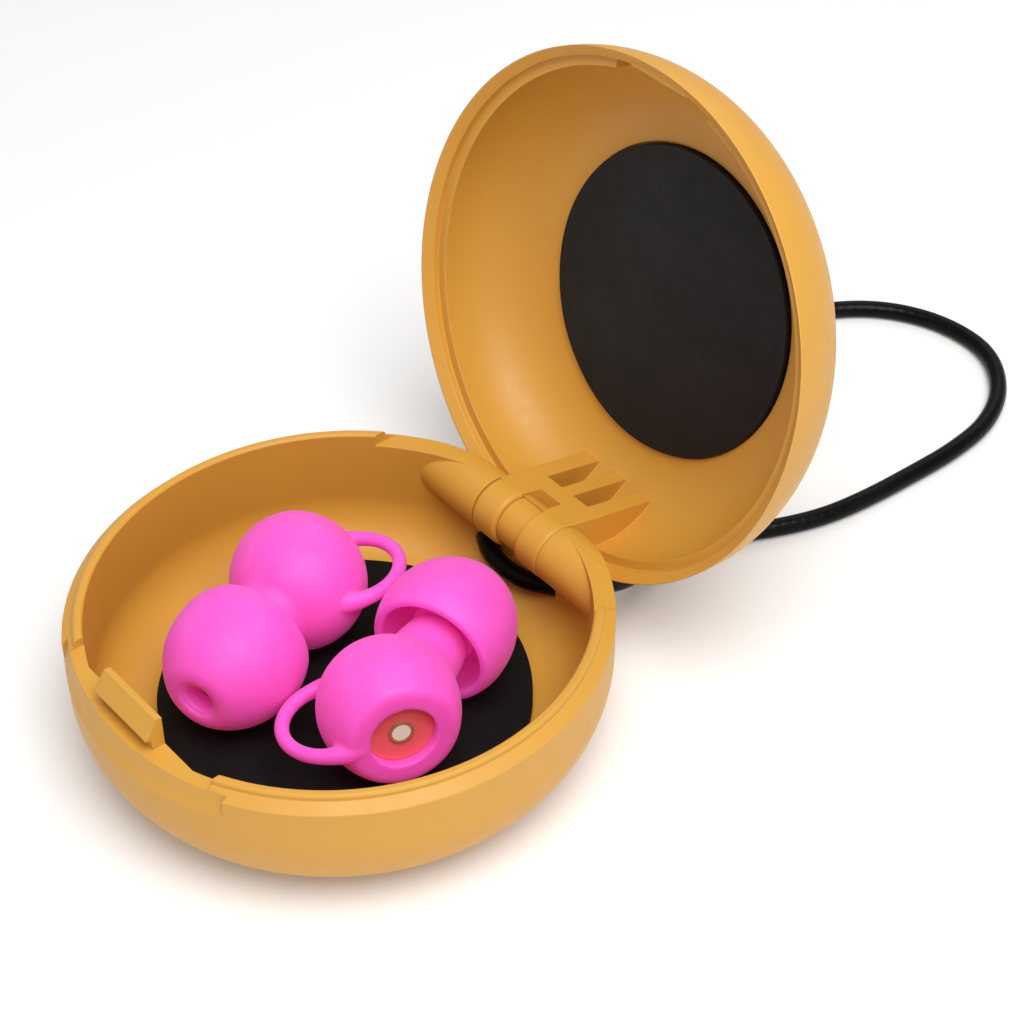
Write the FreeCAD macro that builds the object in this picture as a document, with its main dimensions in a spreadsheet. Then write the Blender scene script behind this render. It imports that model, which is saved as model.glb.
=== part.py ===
import FreeCAD
import Part

import math
import os

import Sketcher

# A pair of reusable silicone ear plugs in a hinged round carry case with a cord loop.
# Units are millimetres. +Z is up. The case stands on z = 0 with its axis on the Z axis.
# The hinge is at the back (+Y, its axis along X) and the latch is at the front (-Y).
# The case is drawn closed, and its lid is then placed at its open rest angle.

doc = FreeCAD.newDocument("ear_plug_case")
sheet = doc.addObject("Spreadsheet::Sheet", "dims")

DIMENSIONS = [
    # the closed case
    ("case_radius", 24.0, "outer radius of both halves"),
    ("parting_height", 13.15, "outer edge of the base's rim"),
    ("base_rounding", 9.1, "outer rounding under the base"),
    ("wall", 2.0, "floor and side wall of the base"),
    ("floor_radius", 17.0, "flat floor of the base"),
    ("inner_rounding", 5.0, "inner rounding above the floor"),
    ("lid_top", 24.3, "outer top of the closed lid"),
    ("lid_rounding", 10.8, "outer rounding of the lid"),
    ("lid_roof", 1.35, "lid wall behind its pad"),
    ("rim_gap", 0.07, "gap between the rims when closed"),
    # lip and rim
    ("lip_inner", 22.12, "inner radius of the lip"),
    ("lip_outer", 22.98, "outer radius of the lip"),
    ("lip_top", 14.4, "top of the lip"),
    ("lip_chamfer", 0.2, "chamfers of the lip"),
    ("rim_shoulder", 13.85, "rim height beside the lip"),
    ("front_lip_end", 10.3, "half length of the gap in the lip at the latch"),
    ("back_lip_end", 15.5, "half length of the gap in the lip at the hinge"),
    ("rebate_radius", 23.1, "radius of the lid's rebate, round the lip"),
    ("rebate_depth", 1.38, "height of the rebate above the lid's rim"),
    ("lid_inner", 22.15, "inner radius of the lid above the rebate"),
    ("lid_hollow", 7.4, "inner rounding of the lid"),
    ("hollow_start", 0.6, "start of that rounding, above the rebate"),
    # front shelf, thumb scoop and latch
    ("shelf_height", 13.4, "flat front shelf behind the thumb scoop"),
    ("shelf_edge", 20.7, "straight inner edge of the shelf, from the axis"),
    ("shelf_thick", 1.6, "shelf at its inner edge"),
    ("shelf_root", 6.0, "height of the shelf's wedge at the wall"),
    ("ledge_front", 23.1, "front of the shelf behind the thumb scoop, from the axis"),
    ("scoop_radius", 8.0, "roundness of the thumb scoop"),
    ("scoop_offset", 2.5, "the scoop turns round a line this far behind the axis"),
    ("scoop_rise", 1.1, "middle of the thumb scoop, above the shelf"),
    ("scoop_side", 1.6, "the scoop runs this far past each end of the front lip gap"),
    ("latch_half", 3.8, "half width of the latch tab"),
    ("latch_top", 16.6, "top of the latch tab"),
    ("latch_thick", 1.2, "latch tab below its hook"),
    ("latch_hook", 0.6, "reach of the hook in front of the tab"),
    ("hook_depth", 1.95, "underside of the hook, below the top of the tab"),
    ("latch_foot", 0.5, "depth of the tab in the shelf"),
    ("catch_play", 0.3, "the catch is shorter than the tab by this at each end"),
    ("catch_edge", 0.22, "the catch stands out from the back of the recess"),
    ("recess_half", 5.7, "half width of the lid's latch recess"),
    ("recess_top", 16.3, "top of the lid's latch recess"),
    ("recess_wall", 22.95, "back of the lid's latch recess, from the axis"),
    # hinge
    ("hinge_back", 21.2, "hinge axis, from the case's axis"),
    ("hinge_height", 10.3, "hinge axis above the table"),
    ("open_angle", 104.5, "lid angle at rest"),
    ("barrel_radius", 2.4, "middle barrel of the base"),
    ("side_radius", 2.8, "side barrels of the base"),
    ("knuckle_radius", 2.85, "lid knuckles"),
    ("knuckle_edge", 0.4, "rounding of a knuckle's edges"),
    ("knuckle_inner", 1.45, "inner side of a knuckle"),
    ("knuckle_outer", 4.55, "outer side of a knuckle"),
    ("side_gap", 0.05, "gap beside a knuckle"),
    ("barrel_reach", 13.0, "outer end of the side barrels"),
    ("pin_radius", 0.8, "hinge pin"),
    ("pin_gap", 0.05, "gap between the pin and a knuckle"),
    ("pin_half", 8.5, "half length of the hinge pin"),
    ("knuckle_gap", 0.2, "room round a knuckle in the base"),
    ("barrel_gap", 0.4, "room round the middle barrel in the lid"),
    ("side_barrel_gap", 0.15, "room round a side barrel in the lid"),
    ("swing_inset", 0.1, "the room for the lid's rim starts inside the side barrels' surface"),
    ("swing_depth", 2.6, "depth of the room for the lid's rim"),
    ("swing_end", 1.2, "that room ends before the ends of the side barrels"),
    ("swing_low", 7.3, "lowest place of that room, below the hinge axis"),
    ("web_front", 0.4, "front of the webs under the barrels, before the hinge axis"),
    ("web_depth", 6.0, "height of those webs"),
    ("web_end", 3.0, "the webs end before the ends of the side barrels"),
    # bracket that joins the lid's knuckles to its dish
    ("bracket_half", 4.6, "half width of the bracket"),
    ("bracket_low", 12.7, "lower edge of the bracket's front plate"),
    ("bracket_back", 2.6, "back of the bracket, behind the hinge axis"),
    ("arm_back", 2.0, "back of the arms between the knuckles and the dish, behind the hinge axis"),
    ("plate_top", 14.7, "upper edge of the bracket's front plate"),
    ("pocket_inner", 0.75, "inner side of a pocket between two ribs"),
    ("pocket_outer", 2.85, "outer side of a pocket between two ribs"),
    # pads
    ("glue", 0.12, "double-sided adhesive"),
    ("glue_edge", 0.6, "the adhesive is smaller than its pad all round"),
    ("base_pad_radius", 16.8, "pad in the base"),
    ("base_pad_top", 3.71, "top of the pad in the base"),
    ("base_pad_edge", 0.3, "rounded edge of that pad"),
    ("lid_pad_radius", 14.4, "pad in the lid"),
    ("lid_pad_thick", 0.75, "pad in the lid"),
    ("lid_pad_edge", 0.15, "rounded edge of that pad"),
    ("lid_glue_edge", 0.02, "rounded edge of that pad's adhesive"),
    ("pad_play", 0.15, "gap round the pad in its seat in the lid"),
    ("seat_depth", 0.35, "depth of that seat"),
    # cord
    ("cord_radius", 0.9, "cord"),
    ("cord_gap", 0.15, "gap round the cord in its holes"),
    ("joiner_radius", 1.5, "crimped sleeve on the cord"),
    ("joiner_length", 8.0, "crimped sleeve on the cord"),
    ("joiner_edge", 0.25, "rounded ends of the sleeve"),
    ("crimp_half", 0.8, "half length of a crimp"),
    ("crimp_roundness", 1.2, "roundness of a crimp"),
    # ear plug
    ("body_radius", 6.2, "round body"),
    ("face_distance", 4.6, "flat outer face, from the body's centre"),
    ("face_angle", 47.3, "tilt of the face from the stem's axis"),
    ("face_rounding", 1.5, "edge of the flat face"),
    ("face_inset", 0.9, "the edge starts this far inside the round body"),
    ("face_fall", 0.95, "the edge ends this far behind the face"),
    ("recess_radius", 2.95, "filter recess in the face"),
    ("filter_radius", 2.93, "filter housing"),
    ("filter_front", 3.65, "front of the filter, from the body's centre"),
    ("filter_back", 2.2, "back of the filter, from the body's centre"),
    ("chamber_radius", 1.6, "chamber behind the filter"),
    ("core_radius", 0.85, "core of the filter"),
    ("core_ring_radius", 1.12, "ring round the core"),
    ("ring_proud", 0.12, "the ring stands out of the housing"),
    ("core_proud", 0.06, "the core stands out of the housing"),
    ("mesh_thick", 0.15, "membrane behind the filter"),
    ("handle_along", 2.85, "centre of the ring handle behind the body's centre"),
    ("handle_aside", 3.69, "centre of the ring handle beside the body's centre"),
    ("handle_radius", 4.6, "ring handle, to the middle of its bar"),
    ("handle_bar", 0.66, "radius of the handle's bar"),
    ("stem_start", 2.0, "start of the stem inside the body"),
    ("neck_start", 4.6, "the stem flares into the body from here"),
    ("neck_end", 6.4, "end of that flare"),
    ("neck_flare", 0.8, "height of that flare"),
    ("flare_roundness", 2.6, "roundness of that flare"),
    ("neck_radius", 3.3, "stem where it leaves the body"),
    ("shoulder_radius", 2.85, "stem at its shoulder"),
    ("shoulder_along", 9.2, "shoulder, from the body's centre"),
    ("shoulder_edge", 0.5, "rounding of the shoulder"),
    ("spigot_edge", 0.3, "chamfer of the spigot"),
    ("spigot_radius", 2.27, "spigot that holds the ear tip"),
    ("spigot_end", 15.1, "end of the spigot, from the body's centre"),
    ("sound_radius", 1.2, "bore of the stem"),
    ("tube_start", 3.0, "start of the sound tube, from the body's centre"),
    ("tube_wall", 0.3, "sound tube"),
    # ear tip
    ("tip_centre", 10.6, "widest place of the tip, from the body's centre"),
    ("tip_radius", 6.15, "ear tip"),
    ("tip_wall", 0.75, "flange of the ear tip"),
    ("tip_nose", 16.75, "front of the ear tip, from the body's centre"),
    ("tip_skirt", 7.45, "back edge of the ear tip, from the body's centre"),
    ("tip_skirt_radius", 5.55, "outer radius of that edge"),
    ("tip_hole", 1.45, "sound hole of the ear tip"),
    ("sleeve_radius", 3.0, "outer radius of the tip's sleeve"),
    ("sleeve_back", 9.6, "back end of the sleeve"),
    ("sleeve_gap", 0.03, "gap between the sleeve and the spigot"),
    ("spigot_play", 0.1, "gap in front of the spigot"),
    ("nose_bend", 0.55, "inner rounding of the nose"),
    ("nose_round", 1.6, "outer rounding of the nose"),
    ("nose_lip", 0.65, "the nose is widest at this distance from its hole"),
    ("nose_flank", 1.5, "end of the outer rounding, from the hole's edge"),
    ("nose_under", 1.7, "the flange joins the sleeve this far behind the nose"),
    ("skirt_edge", 0.3, "slope of the skirt's edge"),
    ("skirt_thick", 0.55, "skirt at its edge"),
]

for row, (alias, number, meaning) in enumerate(DIMENSIONS, start=1):
    sheet.set(f"A{row}", meaning)
    sheet.set(f"B{row}", str(number))
    sheet.setAlias(f"B{row}", alias)
doc.recompute()


def size(text):
    """Number that an expression over the sheet's aliases gives."""
    return float(sheet.evalExpression(text))


def bound(feature, **expressions):
    """Bind properties of a feature to expressions over the sheet."""
    for name, text in expressions.items():
        feature.setExpression(name, in_sheet(text))
    return feature


ALIASES = sorted((row[0] for row in DIMENSIONS), key=len, reverse=True)


def in_sheet(text):
    """Rewrite bare aliases as references to the sheet."""
    words = []
    word = ""
    for letter in text + " ":
        if letter.isalnum() or letter == "_":
            word += letter
        else:
            words.append("dims." + word if word in ALIASES else word)
            words.append(letter)
            word = ""
    return "".join(words).strip()


# ---------------------------------------------------------------- builders

def origin_plane(body, role):
    for feature in body.Origin.OriginFeatures:
        if feature.Role == role:
            return feature
    raise RuntimeError(role)


def arc_between(start, end, radius):
    """Arc from start to end; a positive radius turns left, a negative one turns right."""
    middle = FreeCAD.Vector((start.x + end.x) / 2, (start.y + end.y) / 2, 0)
    chord = end - start
    half = chord.Length / 2
    rise = math.sqrt(max(radius * radius - half * half, 0.0))
    side = FreeCAD.Vector(-chord.y, chord.x, 0).normalize()
    centre = middle + side * math.copysign(rise, radius)
    first = math.atan2(start.y - centre.y, start.x - centre.x)
    last = math.atan2(end.y - centre.y, end.x - centre.x)
    circle = Part.Circle(centre, FreeCAD.Vector(0, 0, 1), abs(radius))
    if radius > 0:
        return Part.ArcOfCircle(circle, first, last if last > first else last + 2 * math.pi), 1, 2
    return Part.ArcOfCircle(circle, last, first if first > last else first + 2 * math.pi), 2, 1


def outline(body, name, role, corners):
    """Closed sketch through the corners: (x, y) or (x, y, radius of the arc that follows)."""
    sketch = body.newObject("Sketcher::SketchObject", name)
    sketch.AttachmentSupport = [(origin_plane(body, role), "")]
    sketch.MapMode = "FlatFace"
    places = [FreeCAD.Vector(size(c[0]), size(c[1]), 0) for c in corners]
    ends = []
    for index, corner in enumerate(corners):
        start = places[index]
        end = places[(index + 1) % len(corners)]
        if len(corner) == 3:
            arc, first, last = arc_between(start, end, size(corner[2]))
            edge = sketch.addGeometry(arc, False)
            radius = sketch.addConstraint(Sketcher.Constraint("Radius", edge, abs(size(corner[2]))))
            sketch.setExpression(f"Constraints[{radius}]", "abs(" + in_sheet(corner[2]) + ")")
        else:
            edge = sketch.addGeometry(Part.LineSegment(start, end), False)
            first, last = 1, 2
        ends.append((edge, first, last))
    for index, (edge, first, last) in enumerate(ends):
        following = ends[(index + 1) % len(ends)]
        sketch.addConstraint(Sketcher.Constraint("Coincident", edge, last, following[0], following[1]))
    for corner, place, (edge, first, last) in zip(corners, places, ends):
        for kind, text, number in (("DistanceX", corner[0], place.x), ("DistanceY", corner[1], place.y)):
            item = sketch.addConstraint(Sketcher.Constraint(kind, -1, 1, edge, first, number))
            sketch.setExpression(f"Constraints[{item}]", in_sheet(text))
    return sketch


def turned(name, role, axis, corners):
    """Body revolved from a closed outline round an axis of its sketch."""
    body = doc.addObject("PartDesign::Body", name)
    sketch = outline(body, name + "_outline", role, corners)
    turn = body.newObject("PartDesign::Revolution", name + "_turn")
    turn.Profile = sketch
    turn.ReferenceAxis = (sketch, [axis])
    turn.Angle = 360
    body.Tip = turn
    return body


def padded(name, role, corners, length):
    """Body padded from a closed outline, to both sides of its sketch."""
    body = doc.addObject("PartDesign::Body", name)
    sketch = outline(body, name + "_outline", role, corners)
    pad = body.newObject("PartDesign::Pad", name + "_pad")
    pad.Profile = sketch
    pad.Midplane = True
    bound(pad, Length=length)
    body.Tip = pad
    return body


def block(name, low, high):
    """Part::Box between two corners given as expressions."""
    box = doc.addObject("Part::Box", name)
    for letter, side, start, end in zip("xyz", ("Length", "Width", "Height"), low, high):
        box.setExpression(side, in_sheet(f"({end}) - ({start})"))
        box.setExpression(f"Placement.Base.{letter}", in_sheet(start))
    return box


def rod(name, radius, start, end, across="0", up="0"):
    """Part::Cylinder along X from start to end."""
    cylinder = doc.addObject("Part::Cylinder", name)
    cylinder.Placement = FreeCAD.Placement(
        FreeCAD.Vector(0, 0, 0), FreeCAD.Rotation(FreeCAD.Vector(0, 1, 0), 90))
    bound(cylinder, Radius=radius, Height=f"({end}) - ({start})")
    cylinder.setExpression("Placement.Base.x", in_sheet(start))
    cylinder.setExpression("Placement.Base.y", in_sheet(across))
    cylinder.setExpression("Placement.Base.z", in_sheet(up))
    return cylinder


def disc(name, radius, bottom, top):
    """Upright Part::Cylinder between two heights."""
    cylinder = doc.addObject("Part::Cylinder", name)
    bound(cylinder, Radius=radius, Height=f"({top}) - ({bottom})")
    cylinder.setExpression("Placement.Base.z", in_sheet(bottom))
    return cylinder


def joined(name, *pieces):
    fuse = doc.addObject("Part::MultiFuse", name)
    fuse.Shapes = list(pieces)
    return fuse


def shared(name, *pieces):
    common = doc.addObject("Part::MultiCommon", name)
    common.Shapes = list(pieces)
    return common


def cut(name, base, tool):
    result = doc.addObject("Part::Cut", name)
    result.Base = base
    result.Tool = tool
    return result


def free_shape(name, shape):
    feature = doc.addObject("Part::Feature", name)
    feature.Shape = shape
    return feature


PARTS = []


def finished(feature, label, placement=None):
    """Name a finished sub-part and put it in its place."""
    feature.Label = label
    if placement:
        feature.Placement = placement.multiply(feature.Placement)
    PARTS.append(feature)
    return feature


# ---------------------------------------------------------------- cord route

# The route starts and ends in the joiner, behind the case: through the left hole, along the
# inside of the back wall, out of the right hole and round the loop on the table.
CORD_ROUTE = [
    (-10.5, 37.6, 1.5),
    (-9.2, 32.6, 1.5),
    (-8.8, 28.0, 2.5),
    (-7.8, 24.0, 4.2),
    (-5.3, 20.3, 5.3),
    (-1.2, 19.7, 5.0),
    (2.9, 20.1, 5.7),
    (5.2, 24.0, 5.2),
    (6.1, 28.2, 3.0),
    (5.5, 33.0, 0.9),
    (5.3, 38.0, 0.9),
    (6.3, 42.6, 0.9),
    (8.0, 46.7, 0.9),
    (9.6, 51.4, 0.9),
    (10.4, 56.8, 0.9),
    (10.7, 62.4, 0.9),
    (10.9, 68.2, 0.9),
    (10.2, 74.2, 0.9),
    (7.3, 79.6, 0.9),
    (2.2, 83.4, 0.9),
    (-4.2, 83.4, 0.9),
    (-9.9, 80.7, 0.9),
    (-13.9, 76.0, 0.9),
    (-16.0, 70.0, 0.9),
    (-16.6, 63.6, 0.9),
    (-15.8, 57.0, 0.9),
    (-14.2, 50.6, 0.9),
    (-12.2, 44.4, 1.5),
    (-10.7, 38.4, 1.5),
]


# An arc takes this share of the shorter run beside its corner.
ARC_SHARE = 0.45
# The places in the route between which the cord goes through the base.
CHANNEL = slice(2, 9)


def cord_path(points):
    """Straight runs joined by tangent arcs, as large as the runs beside each corner allow."""
    edges = []
    radii = []
    here = points[0]
    for before, corner, after in zip(points, points[1:], points[2:]):
        arriving = corner - before
        leaving = after - corner
        turn = arriving.getAngle(leaving)
        reach = ARC_SHARE * min(arriving.Length, leaving.Length)
        radii.append(reach / math.tan(turn / 2))
        start = corner - FreeCAD.Vector(arriving).normalize() * reach
        end = corner + FreeCAD.Vector(leaving).normalize() * reach
        towards = (start + end) * 0.5 - corner
        centre = corner + towards.normalize() * (radii[-1] / math.cos(turn / 2))
        middle = centre + (corner - centre).normalize() * radii[-1]
        edges.append(Part.LineSegment(here, start).toShape())
        edges.append(Part.Arc(start, middle, end).toShape())
        here = end
    edges.append(Part.LineSegment(here, points[-1]).toShape())
    return Part.Wire(edges), radii


def cord_tube(points, radius):
    path, radii = cord_path(points)
    section = Part.Wire([Part.makeCircle(radius, points[0], points[1] - points[0])])
    tube = path.makePipeShell([section], True, False)
    expected = math.pi * radius * radius * path.Length
    print(f"cord: radius {radius}, length {path.Length:.1f}, tightest bend {min(radii):.1f}")
    print(f"cord: volume {tube.Volume:.1f}, expected {expected:.1f}")
    return tube


route = [FreeCAD.Vector(*point) for point in CORD_ROUTE]
tube = cord_tube(route, size("cord_radius"))
channel = cord_tube(route[CHANNEL], size("cord_radius + cord_gap"))


# ---------------------------------------------------------------- base shell

BASE_OUTSIDE = [
    ("0", "0"),
    ("case_radius - base_rounding", "0", "base_rounding"),
    ("case_radius", "base_rounding"),
    ("case_radius", "parting_height"),
    ("lip_outer", "rim_shoulder"),
]
base_outer = turned("base_outer", "XZ_Plane", "V_Axis", BASE_OUTSIDE + [("0", "rim_shoulder")])
base_bowl = turned("base_bowl", "XZ_Plane", "V_Axis", BASE_OUTSIDE + [
    ("lip_outer", "lip_top - lip_chamfer"),
    ("lip_outer - lip_chamfer", "lip_top"),
    ("lip_inner + lip_chamfer", "lip_top"),
    ("lip_inner", "lip_top - lip_chamfer"),
    ("case_radius - wall", "wall + inner_rounding", "-inner_rounding"),
    ("floor_radius", "wall"),
    ("0", "wall"),
])


def side_blocks(name, low, high):
    """A block on each side of the case: low and high give its X from the middle."""
    right = block(name + "_right", low, high)
    left = block(name + "_left", (f"-({high[0]})", low[1], low[2]), (f"-({low[0]})", high[1], high[2]))
    return [right, left]


front_lip_gap = block("front_lip_gap", ("-front_lip_end", "-case_radius", "shelf_height"),
                      ("front_lip_end", "-shelf_edge + 3", "lip_top + 1"))
back_lip_gap = block("back_lip_gap", ("-back_lip_end", "12", "parting_height"),
                     ("back_lip_end", "case_radius + 1", "lip_top + 1"))

# The front shelf carries the latch tab; its underside slopes into the wall.
shelf_wedge = padded("shelf_wedge", "YZ_Plane", [
    ("-case_radius", "shelf_height"),
    ("-case_radius", "shelf_height - shelf_root"),
    ("-shelf_edge - 1", "shelf_height - shelf_root"),
    ("-shelf_edge", "shelf_height - shelf_thick"),
    ("-shelf_edge", "shelf_height"),
], "2 * front_lip_end - shelf_thick")
shelf = shared("shelf", shelf_wedge, base_outer)

scoop = doc.addObject("Part::Torus", "thumb_scoop")
bound(scoop, Radius1="ledge_front + scoop_offset + scoop_radius", Radius2="scoop_radius")
scoop.setExpression("Placement.Base.y", in_sheet("scoop_offset"))
scoop.setExpression("Placement.Base.z", in_sheet("shelf_height + scoop_rise"))
scoop_window = block("scoop_window", ("-front_lip_end - scoop_side", "-case_radius - 2", "4"),
                     ("front_lip_end + scoop_side", "-case_radius / 2", "lip_top + 2"))
scoop_cut = shared("scoop_cut", scoop, scoop_window)

latch_tab = padded("latch_tab", "YZ_Plane", [
    ("-shelf_edge - 0.02", "shelf_height - latch_foot"),
    ("-shelf_edge - 0.02", "latch_top - 0.1"),
    ("-shelf_edge - latch_thick / 2", "latch_top"),
    ("-shelf_edge - latch_thick - latch_hook", "latch_top - 1.7"),
    ("-shelf_edge - latch_thick - latch_hook + 0.05", "latch_top - hook_depth"),
    ("-shelf_edge - latch_thick", "latch_top - hook_depth"),
    ("-shelf_edge - latch_thick", "shelf_height - latch_foot"),
], "2 * latch_half")

# Hinge barrels, and the webs that join them to the back wall.
def hinge_rod(name, radius, start, end):
    return rod(name, radius, start, end, "hinge_back", "hinge_height")


barrels = [
    hinge_rod("barrel_left", "side_radius", "-barrel_reach", "-knuckle_outer - side_gap"),
    hinge_rod("barrel_middle", "barrel_radius", "-knuckle_inner + side_gap", "knuckle_inner - side_gap"),
    hinge_rod("barrel_right", "side_radius", "knuckle_outer + side_gap", "barrel_reach"),
]
barrel_mass = shared("barrel_mass", joined("barrel_rods", *barrels), base_outer)
web_low = ("hinge_back - web_front", "hinge_height - web_depth")
web_high = ("case_radius", "hinge_height")
webs = side_blocks("web", ("knuckle_outer + side_gap", *web_low), ("barrel_reach - web_end", *web_high))
webs.append(block("web_middle", ("-knuckle_inner + side_gap", *web_low),
                  ("knuckle_inner - side_gap", *web_high)))
web_mass = shared("web_mass", joined("web_blocks", *webs), base_outer)

# Room for the lid's rim as it swings down behind the hinge, and for the lid's knuckles.
swing_ring = cut("swing_ring",
                 hinge_rod("swing_outer", "side_radius - swing_inset + swing_depth",
                           "-barrel_reach + swing_end", "barrel_reach - swing_end"),
                 hinge_rod("swing_inner", "side_radius - swing_inset", "-barrel_reach", "barrel_reach"))
swing_window = padded("swing_window", "YZ_Plane", [
    ("hinge_back", "hinge_height"),
    ("hinge_back + 3.25", "hinge_height - swing_low"),
    ("case_radius + 5.2", "hinge_height - swing_low"),
    ("case_radius + 5.2", "lip_top + 3.9"),
    ("hinge_back", "lip_top + 3.9"),
], "2 * barrel_reach")
swing_cut = shared("swing_cut", swing_ring, swing_window)
knuckle_room = []
for side, start, end in (("left", "-knuckle_outer - side_gap", "-knuckle_inner + side_gap"),
                         ("right", "knuckle_inner - side_gap", "knuckle_outer + side_gap")):
    knuckle_room.append(hinge_rod("knuckle_room_" + side, "knuckle_radius + knuckle_gap", start, end))
pin_bore = hinge_rod("pin_bore", "pin_radius", "-pin_half", "case_radius")
cord_channel = free_shape("cord_channel", channel)

bowl_with_gaps = cut("bowl_with_gaps", base_bowl, joined("lip_gaps", front_lip_gap, back_lip_gap))
base_solid = joined("base_solid", bowl_with_gaps, shelf, web_mass)
base_open = cut("base_open", base_solid, joined("scoop_and_swing", scoop_cut, swing_cut))
base_hinged = joined("base_hinged", base_open, latch_tab, barrel_mass)
base_holes = joined("base_holes", *knuckle_room, pin_bore, cord_channel)
base_shell = cut("base_finished", base_hinged, base_holes)
finished(base_shell, "base_shell")


# ---------------------------------------------------------------- lid shell, drawn closed

RIM = "(parting_height + rim_gap)"
LID_SHOULDER = "(rim_shoulder + rim_gap + 0.03)"
LID_STEP = f"({RIM} + rebate_depth)"
PAD_SEAT = "(lid_top - lid_roof)"
LID_OUTSIDE = [
    ("case_radius", RIM),
    ("case_radius", "lid_top - lid_rounding", "lid_rounding"),
    ("case_radius - lid_rounding", "lid_top"),
    ("0", "lid_top"),
]
LID_LIMIT = [("case_radius", "bracket_low - 1")] + LID_OUTSIDE[1:]
lid_dish = turned("lid_dish", "XZ_Plane", "V_Axis", LID_OUTSIDE + [
    ("0", PAD_SEAT),
    ("lid_pad_radius + pad_play", PAD_SEAT),
    ("lid_pad_radius + pad_play", PAD_SEAT + " - seat_depth", "-lid_hollow"),
    ("lid_inner", LID_STEP + " + hollow_start"),
    ("lid_inner", LID_STEP),
    ("rebate_radius", LID_STEP),
    ("rebate_radius", LID_SHOULDER),
])
latch_recess = shared("latch_recess",
                      disc("recess_disc", "recess_wall", RIM + " - 1", "recess_top"),
                      block("recess_window", ("-recess_half", "-case_radius", RIM + " - 1"),
                            ("recess_half", "-lid_inner + 2.5", "recess_top")))
catch_bar = block("catch_bar", ("-latch_half + catch_play", "-rebate_radius - catch_play", LID_SHOULDER),
                  ("latch_half - catch_play", "-recess_wall + catch_edge", LID_STEP))

# Hinge bracket: a block whose front face is tangent to the two knuckles, parallel to the way the
# lid leaves its mould. Two pockets leave three ribs that run out into the dish.
knuckles = []
arms = []
for side, start, end in (("left", "-knuckle_outer", "-knuckle_inner"),
                         ("right", "knuckle_inner", "knuckle_outer")):
    knuckle = turned("knuckle_" + side, "XY_Plane", "H_Axis", [
        (start, "0"),
        (start, "knuckle_radius - knuckle_edge", "-knuckle_edge"),
        (start + " + knuckle_edge", "knuckle_radius"),
        (end + " - knuckle_edge", "knuckle_radius", "-knuckle_edge"),
        (end, "knuckle_radius - knuckle_edge"),
        (end, "0"),
    ])
    bound(knuckle, **{"Placement.Base.y": "hinge_back", "Placement.Base.z": "hinge_height"})
    knuckles.append(knuckle)
    arms.append(block("arm_" + side, (start, "hinge_back - knuckle_radius", "hinge_height"),
                      (end, "hinge_back + arm_back", RIM + " + 1")))
plate = padded("bracket_plate", "YZ_Plane", [
    ("hinge_back - knuckle_radius", "bracket_low"),
    ("hinge_back", "bracket_low"),
    ("hinge_back", RIM),
    ("hinge_back + bracket_back", RIM),
    ("hinge_back + bracket_back", "lid_top"),
    ("hinge_back - knuckle_radius", "lid_top"),
], "2 * bracket_half")
pockets = side_blocks("pocket", ("pocket_inner", "hinge_back - knuckle_radius - 1", "plate_top"),
                      ("pocket_outer", "case_radius", "lid_top + 1"))
bracket = shared("bracket", cut("ribs", plate, joined("pocket_pair", *pockets)),
                 turned("bracket_limit", "XZ_Plane", "V_Axis", [("0", "bracket_low - 1")] + LID_LIMIT))
# The barrels of the base turn in these rooms.
lid_rooms = [hinge_rod("barrel_room", "barrel_radius + barrel_gap", "-knuckle_inner", "knuckle_inner")]
for side, start, end in (("left", "-barrel_reach - 2", "-knuckle_outer"),
                         ("right", "knuckle_outer", "barrel_reach + 2")):
    lid_rooms.append(hinge_rod("side_room_" + side, "side_radius + side_barrel_gap", start, end))
knuckle_bore = hinge_rod("knuckle_bore", "pin_radius + pin_gap", "-knuckle_outer - 1", "knuckle_outer + 1")
lid_opened = cut("lid_recessed", lid_dish, latch_recess)
lid_solid = joined("lid_solid", lid_opened, catch_bar, bracket, *arms)
lid_cleared = cut("lid_cleared", lid_solid, joined("lid_room", *lid_rooms))
lid_knuckled = joined("lid_knuckled", lid_cleared, *knuckles)
lid_shell = cut("lid_finished", lid_knuckled, knuckle_bore)

hinge_point = FreeCAD.Vector(0, size("hinge_back"), size("hinge_height"))
opening = FreeCAD.Placement(
    FreeCAD.Vector(0, 0, 0), FreeCAD.Rotation(FreeCAD.Vector(1, 0, 0), -size("open_angle")), hinge_point)
finished(lid_shell, "lid_shell", opening)

hinge_pin = rod("pin", "pin_radius", "-pin_half", "pin_half", "hinge_back", "hinge_height")
finished(hinge_pin, "hinge_pin")


# ---------------------------------------------------------------- pads

def rounded_disc(name, radius, bottom, top, rounding, rounded_top):
    """Disc with one rounded rim, as a turned body."""
    near, far = (top, bottom) if rounded_top else (bottom, top)
    away = f"({near}) - {rounding}" if rounded_top else f"({near}) + {rounding}"
    bend = rounding if rounded_top else "-" + rounding
    return turned(name, "XZ_Plane", "V_Axis", [
        ("0", far),
        (radius, far),
        (radius, away, bend),
        (f"{radius} - {rounding}", near),
        ("0", near),
    ])


LID_PAD_BACK = PAD_SEAT + " - glue"
finished(disc("base_glue", "base_pad_radius - glue_edge", "wall", "wall + glue"), "base_pad_adhesive")
finished(rounded_disc("base_foam", "base_pad_radius", "wall + glue", "base_pad_top", "base_pad_edge", True),
         "base_pad")
finished(rounded_disc("lid_glue", "lid_pad_radius - glue_edge", LID_PAD_BACK, PAD_SEAT,
                      "lid_glue_edge", False),
         "lid_pad_adhesive", opening)
finished(rounded_disc("lid_foam", "lid_pad_radius", LID_PAD_BACK + " - lid_pad_thick", LID_PAD_BACK,
                      "lid_pad_edge", False),
         "lid_pad", opening)


# ---------------------------------------------------------------- cord and joiner

finished(free_shape("cord", tube), "cord_loop")

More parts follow.
